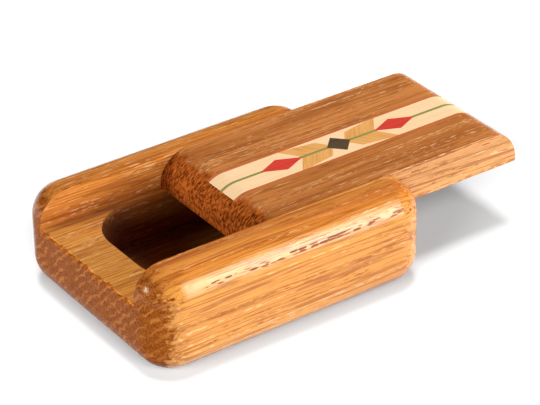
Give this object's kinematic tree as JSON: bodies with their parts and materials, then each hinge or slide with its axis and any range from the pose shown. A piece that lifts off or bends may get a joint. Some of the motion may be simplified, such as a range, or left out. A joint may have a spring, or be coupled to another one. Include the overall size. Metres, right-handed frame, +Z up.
{
  "type": "keepsake box",
  "caption": "Palm-sized rounded hardwood keepsake box with a routed round-cornered cavity and a sliding dovetail lid inlaid with a banding of lozenges and lines.",
  "frame": {"origin": "middle of the body's flat underside", "axes": "+X is the way the lid slides open, +Y is the far long side, +Z is up"},
  "size_m": [0.105, 0.057, 0.0245],
  "materials": {
    "body_wood": "satin lacquer over open-pored figured hardwood",
    "lid_wood": "satin lacquer over open-pored figured hardwood",
    "border_veneer": "satin lacquer over red-brown veneer",
    "ground_veneer": "satin lacquer over pale maple-like veneer",
    "leaf_veneer": "satin lacquer over tan veneer with slanting grain",
    "string_veneer": "satin lacquer over green-dyed veneer",
    "red_veneer": "satin lacquer over red-dyed veneer",
    "black_veneer": "satin lacquer over black-dyed veneer",
    "magnet": "bright nickel plating"
  },
  "bodies": {
    "box": {"box_body": "body_wood", "body_magnet": "magnet"},
    "lid": {"black_diamond": "black_veneer", "border_line_far": "border_veneer", "border_line_near": "border_veneer", "ground_front_far": "ground_veneer", "ground_front_near": "ground_veneer", "ground_middle_far": "ground_veneer", "ground_middle_near": "ground_veneer", "ground_rear_far": "ground_veneer", "ground_rear_near": "ground_veneer", "leaf_front_far": "leaf_veneer", "leaf_front_near": "leaf_veneer", "leaf_rear_far": "leaf_veneer", "leaf_rear_near": "leaf_veneer", "lid_magnet": "magnet", "lid_panel": "lid_wood", "red_lozenge_front": "red_veneer", "red_lozenge_rear": "red_veneer", "stringing_front_end": "string_veneer", "stringing_front_middle": "string_veneer", "stringing_rear_end": "string_veneer", "stringing_rear_middle": "string_veneer"}
  },
  "joints": [
    {"name": "lid_slide", "type": "slide", "parent": "box", "child": "lid", "axis": [1, 0, 0], "range_m": [-0.032, 0.0314]}
  ]
}
